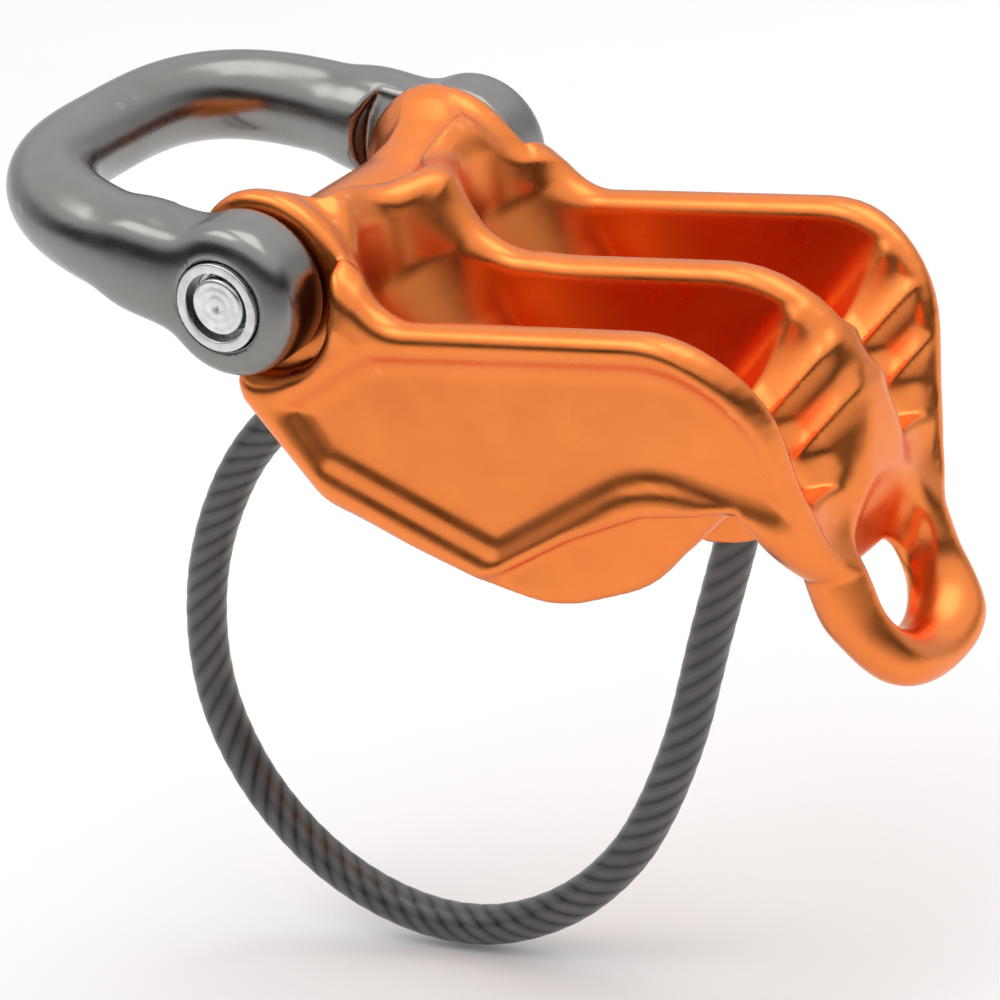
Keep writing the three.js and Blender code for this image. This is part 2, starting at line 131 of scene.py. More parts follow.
# The keeper loop's middle line, as (x, z) in the plane y = 0, from its front socket to its rear one.
CABLE_ROUTE = [
    (-0.6, -12.8), (-3.6, -13.9), (-7.2, -15.6), (-10.6, -17.5), (-13.5, -19.7), (-16.1, -22.2),
    (-18.6, -25.4), (-21, -29.4), (-22.8, -33.6), (-23.9, -37.8), (-24.4, -42), (-24.2, -46.2),
    (-23.2, -50.2), (-21.5, -54), (-19, -57.6), (-15.8, -60.8), (-12, -63.3), (-7.8, -65),
    (-3.4, -65.8), (1.2, -65.6), (5.6, -64.4), (9.8, -62.4), (13.6, -59.7), (17, -56.4),
    (19.8, -52.6), (22.2, -48.6), (24.4, -44.3), (26.2, -40), (28, -35.6), (30, -31), (32.6, -25),
]
CABLE_RADIUS = 1.8
STRANDS = 6
WIRES_A_STRAND = 3  # as many as show on each strand's outer side
LAY_LENGTH = 12.5


# ---------------------------------------------------------------- mesh helpers
ROUTE_FINENESS = 24  # points between two control points, before they are spaced evenly


def new_object(name, points, faces, smooth=True):
    """A mesh object from points in metres and faces that all have the same number of corners."""
    mesh = bpy.data.meshes.new(name)
    mesh.vertices.add(len(points))
    mesh.vertices.foreach_set("co", np.asarray(points, dtype=np.float32).ravel())
    faces = np.asarray(faces, dtype=np.int32)
    count, corners = faces.shape
    mesh.loops.add(count * corners)
    mesh.loops.foreach_set("vertex_index", faces.ravel())
    mesh.polygons.add(count)
    mesh.polygons.foreach_set("loop_start", np.arange(count, dtype=np.int32) * corners)
    mesh.polygons.foreach_set("loop_total", np.full(count, corners, dtype=np.int32))
    mesh.update(calc_edges=True)
    mesh.validate()
    mesh.polygons.foreach_set("use_smooth", np.full(count, smooth))
    obj = bpy.data.objects.new(name, mesh)
    bpy.context.scene.collection.objects.link(obj)
    return obj


def smooth_route(control, count):
    """Centripetal Catmull-Rom curve through the control points, resampled to even steps."""
    control = np.asarray(control, dtype=float)
    first = 2 * control[0] - control[1]
    last = 2 * control[-1] - control[-2]
    p = np.vstack([first, control, last])
    pieces = []
    for i in range(1, len(p) - 2):
        a, b, c, d = p[i - 1], p[i], p[i + 1], p[i + 2]
        t0 = 0.0
        t1 = t0 + np.linalg.norm(b - a) ** 0.5
        t2 = t1 + np.linalg.norm(c - b) ** 0.5
        t3 = t2 + np.linalg.norm(d - c) ** 0.5
        t = np.linspace(t1, t2, ROUTE_FINENESS, endpoint=False)[:, None]
        a1 = (t1 - t) / (t1 - t0) * a + (t - t0) / (t1 - t0) * b
        a2 = (t2 - t) / (t2 - t1) * b + (t - t1) / (t2 - t1) * c
        a3 = (t3 - t) / (t3 - t2) * c + (t - t2) / (t3 - t2) * d
        b1 = (t2 - t) / (t2 - t0) * a1 + (t - t0) / (t2 - t0) * a2
        b2 = (t3 - t) / (t3 - t1) * a2 + (t - t1) / (t3 - t1) * a3
        pieces.append((t2 - t) / (t2 - t1) * b1 + (t - t1) / (t2 - t1) * b2)
    dense = np.vstack(pieces + [control[-1:]])
    run = np.concatenate([[0], np.cumsum(np.linalg.norm(np.diff(dense, axis=0), axis=1))])
    even = np.linspace(0, run[-1], count)
    return np.stack([np.interp(even, run, dense[:, k]) for k in range(3)], axis=1)


# ---------------------------------------------------------------- solid fields (negative inside)
GRID_STEP = 0.3
RELAX_ROUNDS = 3
DRAW_BACK_ROUNDS = 2
LEAST_STEEPNESS = 0.2  # keeps a point from jumping where a field is nearly flat
ARC_STEP = 0.14  # largest turn, in radians, between the points of a rounded corner


def rounded(outline):
    """The outline with each corner rounded to the radius that its point gives."""
    points = []
    count = len(outline)
    for i, (x, z, radius) in enumerate(outline):
        corner = np.array((x, z), dtype=float)
        if radius <= 0:
            points.append(corner)
            continue
        back = np.array(outline[i - 1][:2]) - corner
        ahead = np.array(outline[(i + 1) % count][:2]) - corner
        back /= np.linalg.norm(back)
        ahead /= np.linalg.norm(ahead)
        half = math.acos(float(np.clip(back @ ahead, -1, 1))) / 2
        enter = corner + back * radius / math.tan(half)
        leave = corner + ahead * radius / math.tan(half)
        middle = (back + ahead) / np.linalg.norm(back + ahead)
        centre = corner + middle * radius / math.sin(half)
        start = math.atan2(*(enter - centre)[::-1])
        u, v = enter - centre, leave - centre
        sweep = math.copysign(math.pi - 2 * half, u[0] * v[1] - u[1] * v[0])
        steps = max(2, math.ceil(abs(sweep) / ARC_STEP))
        for k in range(steps + 1):
            angle = start + sweep * k / steps
            points.append(centre + radius * np.array((math.cos(angle), math.sin(angle))))
    return np.array(points)


def outline_distance(outline, x, z):
    """Signed distance from each (x, z) to the rounded outline."""
    points = rounded(outline)
    best = np.full(np.broadcast(x, z).shape, 1e9)
    inside = np.zeros(best.shape, dtype=bool)
    for a, b in zip(points, np.roll(points, -1, axis=0)):
        ex, ez = b - a
        length2 = ex * ex + ez * ez
        if length2 < 1e-12:
            continue
        px, pz = x - a[0], z - a[1]
        t = np.clip((px * ex + pz * ez) / length2, 0, 1)
        best = np.minimum(best, (px - t * ex) ** 2 + (pz - t * ez) ** 2)
        if ez != 0:
            crosses = ((a[1] > z) != (b[1] > z)) & (x < a[0] + (z - a[1]) * ex / ez)
            inside ^= crosses
    return np.where(inside, -np.sqrt(best), np.sqrt(best))


def round_max(a, b, radius):
    """Intersection whose convex edge is rounded."""
    corner = np.hypot(np.maximum(a + radius, 0), np.maximum(b + radius, 0))
    return np.minimum(np.maximum(a, b), -radius) + corner


def round_min(a, b, radius):
    """Union whose concave edge has a fillet."""
    return -round_max(-a, -b, radius)


def soft_min(a, b, k):
    """Union blended over a width of k, without the swelling of a fillet."""
    h = np.maximum(k - np.abs(a - b), 0) / k
    return np.minimum(a, b) - h * h * k / 4


def soft_max(a, b, k):
    return -soft_min(-a, -b, k)


def smoothstep(low, high, value):
    t = np.clip((value - low) / (high - low), 0, 1)
    return t * t * (3 - 2 * t)


def step_at(value, size, low, high):
    """A smooth step of that size between two values."""
    return size * smoothstep(low, high, value)


def bump_at(value, size, width):
    """A smooth bump of that size round zero."""
    return size * np.exp(-(value / width) ** 2)


def line_distance(points, radii, x, y, z):
    """Distance to a chain of segments, less a radius that runs along it."""
    best = None
    points = np.asarray(points, dtype=float)
    for a, b, ra, rb in zip(points[:-1], points[1:], radii[:-1], radii[1:]):
        e = b - a
        px, py, pz = x - a[0], y - a[1], z - a[2]
        t = np.clip((px * e[0] + py * e[1] + pz * e[2]) / (e @ e), 0, 1)
        d = np.sqrt((px - t * e[0]) ** 2 + (py - t * e[1]) ** 2 + (pz - t * e[2]) ** 2)
        d = d - (ra + (rb - ra) * t)
        best = d if best is None else np.minimum(best, d)
    return best


def sample(field, low, step, points):
    """The field and its slope at each point, by trilinear interpolation."""
    grid = (points - low) / step
    base = np.clip(np.floor(grid).astype(int), 0, np.array(field.shape) - 2)
    f = grid - base
    i, j, k = base.T
    c = [[[field[i + a, j + b, k + d] for d in (0, 1)] for b in (0, 1)] for a in (0, 1)]
    fx, fy, fz = f.T

    def mix(p, q, t):
        return p + (q - p) * t

    x00, x10 = mix(c[0][0][0], c[1][0][0], fx), mix(c[0][1][0], c[1][1][0], fx)
    x01, x11 = mix(c[0][0][1], c[1][0][1], fx), mix(c[0][1][1], c[1][1][1], fx)
    value = mix(mix(x00, x10, fy), mix(x01, x11, fy), fz)
    gy = mix(x10 - x00, x11 - x01, fz)
    gz = mix(x01 - x00, x11 - x10, fy)
    d00, d10 = c[1][0][0] - c[0][0][0], c[1][1][0] - c[0][1][0]
    d01, d11 = c[1][0][1] - c[0][0][1], c[1][1][1] - c[0][1][1]
    gx = mix(mix(d00, d10, fy), mix(d01, d11, fy), fz)
    return value, np.stack([gx, gy, gz], axis=1) / step


def surface(field, low, step):
    """Surface nets: one point in each cell that the surface crosses, one quad round each crossed edge."""
    inside = field < 0
    shape = tuple(n - 1 for n in field.shape)
    total = np.zeros(shape, dtype=np.int8)
    for a in (0, 1):
        for b in (0, 1):
            for c in (0, 1):
                total += inside[a:a + shape[0], b:b + shape[1], c:c + shape[2]]
    cells = np.argwhere((total > 0) & (total < 8))
    index = np.full(shape, -1, dtype=np.int64)
    index[tuple(cells.T)] = np.arange(len(cells))
    sums = np.zeros((len(cells), 3))
    hits = np.zeros(len(cells))
    corners = [(a, b, c) for a in (0, 1) for b in (0, 1) for c in (0, 1)]
    for p in corners:
        for axis in range(3):
            if p[axis]:
                continue
            q = list(p)
            q[axis] = 1
            fp = field[tuple((cells + p).T)]
            fq = field[tuple((cells + q).T)]
            cross = (fp < 0) != (fq < 0)
            t = np.where(cross, fp / np.where(cross, fp - fq, 1), 0)
            place = np.tile(np.array(p, dtype=float), (len(cells), 1))
            place[:, axis] += t
            sums += np.where(cross[:, None], place, 0)
            hits += cross
    points = low + (cells + sums / hits[:, None]) * step
    faces = []
    for axis in range(3):
        u, v = (axis + 1) % 3, (axis + 2) % 3
        here = [slice(1, n - 1) for n in field.shape]
        there = list(here)
        here[axis] = slice(0, field.shape[axis] - 1)
        there[axis] = slice(1, field.shape[axis])
        first, second = inside[tuple(here)], inside[tuple(there)]
        edges = np.argwhere(first != second)
        if not len(edges):
            continue
        outward = first[tuple(edges.T)]
        offset = np.ones(3, dtype=int)
        offset[axis] = 0
        edges = edges + offset
        quad = []
        for du, dv in ((-1, -1), (0, -1), (0, 0), (-1, 0)):
            cell = edges.copy()
            cell[:, u] += du
            cell[:, v] += dv
            quad.append(index[tuple(cell.T)])
        quad = np.stack(quad, axis=1)
        quad[~outward] = quad[~outward][:, ::-1]
        faces.append(quad)
    return points, np.vstack(faces)


def neighbours_mean(points, edges):
    """The mean place of the points that each point shares an edge with."""
    total = np.zeros_like(points)
    count = np.zeros(len(points))
    for a, b in ((0, 1), (1, 0)):
        for axis in range(3):
            total[:, axis] += np.bincount(edges[:, a], points[edges[:, b], axis], len(points))
        count += np.bincount(edges[:, a], minlength=len(points))
    return total / count[:, None]


def mirrored(half, low, high_y):
    """The whole field and its low corner, from the half with y >= 0."""
    full = np.concatenate([half[:, :0:-1, :], half], axis=1)
    return full.astype(np.float32), np.array((low[0], -high_y, low[2]))


def field_mesh(name, field, low, step, turn=None):
    """The field's surface, with its points evened out and then drawn back onto it."""
    points, faces = surface(field, low, step)
    sides = [faces[:, [k, (k + 1) % 4]] for k in range(4)]
    edges = np.unique(np.sort(np.vstack(sides)), axis=0)
    for _ in range(RELAX_ROUNDS):
        points = points + 0.5 * (neighbours_mean(points, edges) - points)
        for _ in range(DRAW_BACK_ROUNDS):
            value, slope = sample(field, low, step, points)
            steepness = np.maximum((slope ** 2).sum(axis=1), LEAST_STEEPNESS)
            points = points - slope * (value / steepness)[:, None]
    if turn is not None:
        points = points @ np.array(turn).T
    return new_object(name, points * MM, faces)


def grid(low, high, step):
    """Three axes of evenly spaced places, shaped so that they broadcast to a box."""
    axes = [np.arange(a, b + step / 2, step) for a, b in zip(low, high)]
    x = axes[0][:, None, None]
    y = axes[1][None, :, None]
    z = axes[2][None, None, :]
    return x, y, z


# ---------------------------------------------------------------- the body
BODY_LOW, BODY_HIGH = (-8.2, 0.0, -40.2), (51.4, 18.6, 8.6)

OUTLINE_CHANGE = (2, 13)  # y over which the middle wall's outline turns into the side walls'
INSET_START = (38, -4)  # the side walls draw in beyond this (x, z), along the next direction
INSET_DIRECTION = (0.781, 0.625)
INSET_CURVE = 0.0172
INSET_MOST = 8.2

NOSE_Z = -28.3  # middle of the nose's round end, seen from the rear
NOSE_RADIUS = 9.8
NOSE_FLARE = (2.5, 1.25)  # the height over that middle where the nose starts to widen, and how fast
NOSE_FRONT = (41, 2)  # the x in front of which the nose's width stops counting, and how fast

CHANNEL_START = np.array((36.2, 8.0, -11.7))
CHANNEL_END = np.array((43.5, 7.9, -18.8))
CHANNEL_FLANK = math.atan2(5.3, 9.8)
CHANNEL_HALF_FLOOR = 1.0
CHANNEL_FLOOR_ROUND = 0.8
SHELF_Z = -18.8  # where the channel ends, over the nose
FLUTE_PITCH = 3.8
FLUTE_DEPTH = 0.7
FLUTE_SHIFT = 0.1
FLUTES_END = 9.6

# the saddle's top edge, from the middle wall out to the side walls
EDGE_X = 4.8
EDGE_X_MIDDLE = (2.7, 2.2)  # how much further back it is at the middle wall, and over what width
EDGE_X_SIDE = (2.4, 10, 12.5)  # how much further forward it is at the sides, and between which y
EDGE_Z = 4.2
EDGE_RISE = (1.65, 1, 9.5)  # how much higher it is at the sides, and between which y
EDGE_DROP = (0.055, 10)  # its curve down to the side face, and the y where that starts
EDGE_KNUCKLE = (0.25, 0.9)  # a small rise on the middle wall, and its width
VALLEY_Z = 1.3
VALLEY_RISE = (3.2, 3, 12)
SCOOP_LENGTH = 4.2
SCOOP_POWER = 2.4
BACK_SLOPE = 0.4
BACK_SLOPE_SIDE = (0.25, 8, 16)
CREST_SCALE = 0.75  # brings the height over the crest near to a true distance
SADDLE_BACK_X = 9.5
SADDLE_BOTTOM_Z = -4
SADDLE_FRONT_X = -0.5
MIDDLE_TOP_HALF = 6.5

# Edges and fillets: a radius, and what is added to it between two places along x.
SIDE_ROUND = 1.6
SIDE_ROUND_FRONT = (0.6, 13, 6)
SIDE_ROUND_REAR = (1.2, 38, 44)
RIM_ROUND = 1.55
RIM_ROUND_FRONT = (0.55, 13.5, 8.5)
RIM_ROUND_REAR = (0.35, 41, 46)
RIM_ROUND_LOW = (8, 14)
SLOT_ROUND = 3.2
SLOT_ROUND_FRONT = (2.9, 20, 12)
FACE_BLEND = 3.0
SADDLE_ROUND = 2.8
SADDLE_BLEND = 2.2
MIDDLE_BLEND = 1.2
VOID_BLEND = 2.0
DISH_BLEND = 1.0
SMALL_ROUND = 0.4
RECESS_ROUND = 1.3
EYELET_ROUND = 1.5
EYELET_ROUND_LOW = (1.1, 27, 32)
BAR_SECTION = ((0, 5, 8, 10, 12, 12.9, 20), (3.6, 3.6, 4.1, 5.0, 6.6, 7, 7))  # y, radius

DISH = ((50.2, 7.6, -20.2), 4.6)  # the hollow beside the middle wall's foot, as a ball
RECESS_RADIUS = 6.8
RECESS_REAR = 1.0  # how much wider the recess is behind the eye, where the ring's arms swing to
RECESS_BELOW = 0.8
POCKET_DEPTH = 1.25
POCKET_LEAN = (1.1, 0.67)  # how far the pocket's sides lean out as they rise, and the field's scale
LOBE_DEPTH = 1.7
EYELET_RADIUS = 5.8
EYELET_MIDDLE_Z = (-27.3, -24.9)
EYELET_FRONT_X = 40.0
EYELET_ROOF = (46.7, -20.1, -0.92, 0.392)  # a point (x, z) on the roof, and its slope
SOCKET_RADIUS = 2.4
SOCKET_OVERRUN = 3.0
SOCKETS = (((-0.6, -12.8), (7.0, -10.0)), ((32.6, -25), (35.6, -17.6)))  # mouth, inner end
SOCKET_BOSS = ((32.5, -25.3), (35.8, -16.6), 3.9)
SOCKET_BOSS_BOTTOM_Z = -25.6
PIN_BORE_INNER = 7.7


def inset(x, z):
    """How far the side walls draw in towards the nose."""
    along = (x - INSET_START[0]) * INSET_DIRECTION[0] + (INSET_START[1] - z) * INSET_DIRECTION[1]
    return soft_min(INSET_CURVE * np.maximum(along, 0) ** 2, INSET_MOST, 2.0)


def side_face(x, y, z, drawn):
    """The outer faces: the flat side walls, drawn in to meet the round end of the nose."""
    over = z - NOSE_Z
    nose = np.hypot(y, np.minimum(over, 0)) - NOSE_RADIUS
    nose = nose - NOSE_FLARE[1] * np.maximum(over - NOSE_FLARE[0], 0)
    nose = nose - NOSE_FRONT[1] * np.maximum(NOSE_FRONT[0] - x, 0)
    return soft_max(y - (SIDE_FACE - drawn), nose, FACE_BLEND)


def channel_void(x, y, z):
    """The V channel down which the rope runs to the nose, with ridges across its flanks."""
    along = CHANNEL_END - CHANNEL_START
    along /= np.linalg.norm(along)
    out = np.cross(along, (0, 1, 0))
    out /= np.linalg.norm(out)
    if out[2] < 0:
        out = -out
    across = np.cross(out, along)
    px, py, pz = x - CHANNEL_START[0], y - CHANNEL_START[1], z - CHANNEL_START[2]
    run = px * along[0] + py * along[1] + pz * along[2]
    aside = px * across[0] + py * across[1] + pz * across[2]
    height = px * out[0] + py * out[1] + pz * out[2]
    flank = np.abs(aside) - CHANNEL_HALF_FLOOR - height * math.tan(CHANNEL_FLANK)
    flank = flank * math.cos(CHANNEL_FLANK)
    waves = np.abs(np.sin(np.pi * (run - FLUTE_SHIFT) / FLUTE_PITCH))
    flute = np.where(run < FLUTES_END, waves, 1)
    flute = flute * smoothstep(-0.5, 0.6, run) * smoothstep(0.3, 2.5, height)
    void = round_max(flank - FLUTE_DEPTH * flute, -height, CHANNEL_FLOOR_ROUND)
    return np.maximum(void, SHELF_Z - z)


def crest(x, y, z):
    """The saddle's top: a scoop up to an edge in front, and a slope down to the slots behind it."""
    edge_x = EDGE_X + bump_at(y, *EDGE_X_MIDDLE) - step_at(y, *EDGE_X_SIDE)
    drop, drop_start = EDGE_DROP
    edge_z = EDGE_Z + step_at(y, *EDGE_RISE) - drop * np.maximum(y - drop_start, 0) ** 2
    edge_z = edge_z + bump_at(y, *EDGE_KNUCKLE)
    valley_z = VALLEY_Z + step_at(y, *VALLEY_RISE)
    rise = np.clip((x - (edge_x - SCOOP_LENGTH)) / SCOOP_LENGTH, 0, 1)
    scoop = valley_z + (edge_z - valley_z) * rise ** SCOOP_POWER
    slope = BACK_SLOPE + step_at(y, *BACK_SLOPE_SIDE)
    back = edge_z - slope * (x - edge_x)
    top = np.where(x < edge_x, scoop, back)
    return (z - top) * CREST_SCALE


def solid_body(x, y, z, lift, face):
    """The walls, the saddle and the crossbar, before anything is cut out of them."""
    wall = lift(MIDDLE_OUTLINE)
    wall = wall + (lift(SIDE_OUTLINE) - wall) * smoothstep(*OUTLINE_CHANGE, y)
    side_round = SIDE_ROUND + step_at(x, *SIDE_ROUND_FRONT) + step_at(x, *SIDE_ROUND_REAR)
    solid = round_max(wall, face, side_round)
    open_front = np.maximum(lift(OPEN_FRONT), y - SIDE_INNER)
    solid = round_max(solid, -open_front, SMALL_ROUND)
    saddle = np.maximum(crest(x, y, z), SADDLE_FRONT_X - x)
    saddle = np.maximum(saddle, np.maximum(x - SADDLE_BACK_X, SADDLE_BOTTOM_Z - z))
    solid = soft_min(solid, round_max(saddle, face, SADDLE_ROUND), SADDLE_BLEND)
    middle = np.maximum(lift(MIDDLE_TOP), y - MIDDLE_TOP_HALF)
    solid = soft_min(solid, middle, MIDDLE_BLEND)
    radius = np.interp(y.ravel(), *BAR_SECTION)[None, :, None]
    bar = round_max(np.hypot(x, z) - radius, y - BOSS_FACE, SMALL_ROUND)
    return soft_min(solid, bar, SADDLE_BLEND)


def cut_slot(solid, x, y, z, lift, drawn):
    """One rope slot with its ribbed channel, and the round rims along its edges."""
    sides = np.maximum(WALL / 2 - y, y - (SIDE_INNER - drawn))
    slot = round_max(lift(SLOT_VOID), sides, SLOT_ROUND + step_at(x, *SLOT_ROUND_FRONT))
    void = soft_min(slot, channel_void(x, y, z), VOID_BLEND)
    (ball_x, ball_y, ball_z), ball_radius = DISH
    dish = np.sqrt((x - ball_x) ** 2 + (y - ball_y) ** 2 + (z - ball_z) ** 2) - ball_radius
    void = np.maximum(soft_min(void, dish, DISH_BLEND), sides)
    rim = RIM_ROUND + step_at(x, *RIM_ROUND_FRONT)
    rim = rim + step_at(x, *RIM_ROUND_REAR) * smoothstep(*RIM_ROUND_LOW, -z)
    return round_max(solid, -void, rim)


def cut_recess(solid, x, y, z):
    """Room for the shackle's eye, and for the ring's arms at both ends of their swing."""
    rear = RECESS_REAR * smoothstep(-1, 4.5, x)
    below = RECESS_BELOW * smoothstep(3, 5.5, -z)
    reach = RECESS_RADIUS + np.maximum(rear, below)
    recess = np.maximum((np.hypot(x, z) - reach) * 0.9, BOSS_FACE - y)
    return round_max(solid, -recess, RECESS_ROUND)


def cut_side(solid, x, lift, face):
    """The sunk panel on the side face, and the step down to the lower lobe."""
    pocket = (lift(POCKET_OUTLINE) - face * POCKET_LEAN[0]) * POCKET_LEAN[1]
    pocket = round_max(pocket, -POCKET_DEPTH - face, 0.7)
    solid = round_max(solid, -pocket, 0.6)
    depth = LOBE_DEPTH * smoothstep(14, 25, x)
    lobe = round_max(lift(LOBE_OUTLINE), -depth - face, 0.5)
    return round_max(solid, -lobe, 0.9)


def cut_eyelet(solid, x, y, z):
    """The nose's eyelet, under a sloping roof."""
    hole = np.hypot(y, z - np.clip(z, *EYELET_MIDDLE_Z)) - EYELET_RADIUS
    roof_x, roof_z, slope_x, slope_z = EYELET_ROOF
    roof = (x - roof_x) * slope_x + (z - roof_z) * slope_z
    hole = np.maximum(round_max(hole, roof, 2.4), EYELET_FRONT_X - x)
    return round_max(solid, -hole, EYELET_ROUND + step_at(-z, *EYELET_ROUND_LOW))


def make_body():
    x, y, z = grid(BODY_LOW, BODY_HIGH, GRID_STEP)
    x_plane, z_plane = x[:, 0, :], z[:, 0, :]

    def lift(outline):
        return outline_distance(outline, x_plane, z_plane)[:, None, :]

    drawn = inset(x_plane, z_plane)[:, None, :]
    face = side_face(x, y, z, drawn)
    solid = solid_body(x, y, z, lift, face)
    solid = cut_slot(solid, x, y, z, lift, drawn)
    # the boss on the middle wall that holds the cable's rear socket
    (low_x, low_z), (high_x, high_z), radius = SOCKET_BOSS
    boss = line_distance([(low_x, 0, low_z), (high_x, 0, high_z)], [radius, radius], x, y, z)
    solid = round_min(solid, np.maximum(boss, SOCKET_BOSS_BOTTOM_Z - z), 1.5)
    solid = cut_recess(solid, x, y, z)
    solid = cut_side(solid, x, lift, face)
    solid = cut_eyelet(solid, x, y, z)
    # the bores for the stub pins, and the cable's sockets
    solid = np.maximum(solid, -np.maximum(np.hypot(x, z) - BUSH_BORE, PIN_BORE_INNER - y))
    for mouth, inner in SOCKETS:
        mouth, inner = np.array(mouth), np.array(inner)
        out = mouth - SOCKET_OVERRUN * (inner - mouth) / np.linalg.norm(inner - mouth)
        ends = [(out[0], 0, out[1]), (inner[0], 0, inner[1])]
        socket = line_distance(ends, [SOCKET_RADIUS, SOCKET_RADIUS], x, y, z)
        solid = round_max(solid, -socket, SMALL_ROUND)
    field, low = mirrored(solid, BODY_LOW, y.max())
    return field_mesh("body_forging", field, low, GRID_STEP)


# ---------------------------------------------------------------- the shackle, bushes and pins
SHACKLE_LOW, SHACKLE_HIGH = (-31.2, 0.0, -7.8), (8.4, 22.8, 7.8)
TILT = math.radians(17)  # how far the ring is raised above -X
# the ring's middle line is half a superellipse
RING_START = 4.2
RING_REACH = 21.1
RING_HALF = 17.4
RING_POWER = 0.665
RING_POINTS = 44
RING_END_Y = 18.0
RING_SECTION = ((0, 0.45, 0.8, 1), (3.7, 3.9, 4.1, 4.3))  # share of the way to the eye, radius
EYE_BORE = 3.83
BOSS_CLEARANCE = 8.9  # radius inside which the ring's arms keep clear of the body's boss


def make_shackle():
    """Built in its own frame, ring towards -X, then tilted about the pivot axis."""
    x, y, z = grid(SHACKLE_LOW, SHACKLE_HIGH, GRID_STEP)
    from_axis = np.hypot(x, z)
    angle = np.linspace(0, math.pi / 2, RING_POINTS)
    reach = RING_START + RING_REACH * np.cos(angle).clip(0) ** RING_POWER
    across = RING_HALF * np.sin(angle) ** RING_POWER
    path = np.stack([-reach, across, 0 * angle], axis=1)
    path = np.vstack([path, [(0, RING_END_Y, 0)]])
    radii = np.interp(np.linspace(0, 1, len(path)), *RING_SECTION)
    ring = line_distance(path, radii, x, y, z)
    eye = round_max(from_axis - EYE_RADIUS, y - EYE_OUTER, 2.6)
    eye = round_max(eye, EYE_INNER - y, 0.8)
    solid = round_min(ring, eye, 1.5 + 6.5 * (1 - smoothstep(-12, -3.5, x)))
    solid = round_max(solid, y - EYE_OUTER, 1.6)
    clear = np.maximum(from_axis - BOSS_CLEARANCE, y - EYE_INNER)
    solid = round_max(solid, -clear, 0.6)
    solid = round_max(solid, EYE_BORE - from_axis, 0.15)
    field, low = mirrored(solid, SHACKLE_LOW, y.max())
    turn = Matrix.Rotation(TILT, 3, "Y")
    return field_mesh("shackle_forging", field, low, GRID_STEP, turn=turn)


TURNED_SIDES = 96
EDGE_STEPS = 4
PIN_END = 21.35
PIN_CHAMFER = 0.15
PIN_EDGE = [(2.4, 21.05), (2.36, 21.17), (2.27, 21.26), (2.16, 21.3)]  # (radius, y), as below
PIN_DIMPLE = [(0.42, 21.33), (0.25, 21.29), (0.02, 21.27)]
PIN_DOME = (2.05, 0.62, 16)  # outer and inner radius, and how many rings between them
PIN_DOME_CURVE = 0.012
PIN_DOME_WAVE = (0.008, 9)
PIN_CORE = 0.02  # the ends' rings close down to this radius
BUSH_INNER = 15.4
BUSH_OUTER = 21.5
BUSH_GROOVE = (2.92, 19.6)  # radius and floor of the ring-shaped gap round the pin's end
BUSH_EDGE = 0.13


def turned(name, profile, side):
    """A piece turned about the pivot axis from a closed profile of (radius, y) points."""
    profile = np.asarray(profile, dtype=float)
    angle = np.linspace(0, 2 * math.pi, TURNED_SIDES, endpoint=False)
    points = []
    for r, y in profile:
        ring = [r * np.cos(angle), np.full(TURNED_SIDES, side * y), r * np.sin(angle)]
        points.append(np.stack(ring, axis=1))
    rings = len(profile)
    faces = []
    for i in range(rings):
        a, b = i * TURNED_SIDES, ((i + 1) % rings) * TURNED_SIDES
        for k in range(TURNED_SIDES):
            n = (k + 1) % TURNED_SIDES
            quad = (a + k, b + k, b + n, a + n)
            faces.append(quad if side < 0 else quad[::-1])
    return new_object(name, np.vstack(points) * MM, faces)


def rounded_profile(points, radius):
    """Each corner of a closed profile replaced by a small curve."""
    out = []
    count = len(points)
    for i, p in enumerate(points):
        p = np.array(p, dtype=float)
        a, b = np.array(points[i - 1], dtype=float), np.array(points[(i + 1) % count], dtype=float)
        to_a, to_b = np.linalg.norm(a - p), np.linalg.norm(b - p)
        cut_back = min(radius, to_a * 0.45, to_b * 0.45)
        start, end = p + (a - p) / to_a * cut_back, p + (b - p) / to_b * cut_back
        for k in range(EDGE_STEPS + 1):
            t = k / EDGE_STEPS
            out.append((1 - t) ** 2 * start + 2 * t * (1 - t) * p + t * t * end)
    return out


def make_pin(side, name):
    """A stub pin, with a rounded edge and a low dome with a centre mark on its outer end."""
    wave, turns = PIN_DOME_WAVE
    dome = []
    for r in np.linspace(*PIN_DOME):
        dome.append((r, PIN_END - PIN_DOME_CURVE * r * r + wave * math.cos(r * turns)))
    inner_end = [
        (PIN_CORE, PIN_INNER), (PIN_RADIUS - PIN_CHAMFER, PIN_INNER), (PIN_RADIUS, PIN_INNER + PIN_CHAMFER),
    ]
    return turned(name, inner_end + PIN_EDGE + dome + PIN_DIMPLE, side)


def make_bush(side, name):
    """The ring between a stub pin and the shackle's eye, with a groove round the pin's end."""
    groove_radius, groove_floor = BUSH_GROOVE
    corners = [
        (BUSH_BORE, BUSH_INNER), (BUSH_RADIUS, BUSH_INNER), (BUSH_RADIUS, BUSH_OUTER),
        (groove_radius, BUSH_OUTER), (groove_radius, groove_floor), (BUSH_BORE, groove_floor),
    ]
    return turned(name, rounded_profile(corners, BUSH_EDGE), side)


# ---------------------------------------------------------------- the keeper loop
CABLE_STEPS = 1100
CABLE_SIDES = 56
STRAND_RELIEF = 0.05  # how deep the valleys between the strands are in the sleeve
STRAND_FULLNESS = 0.7


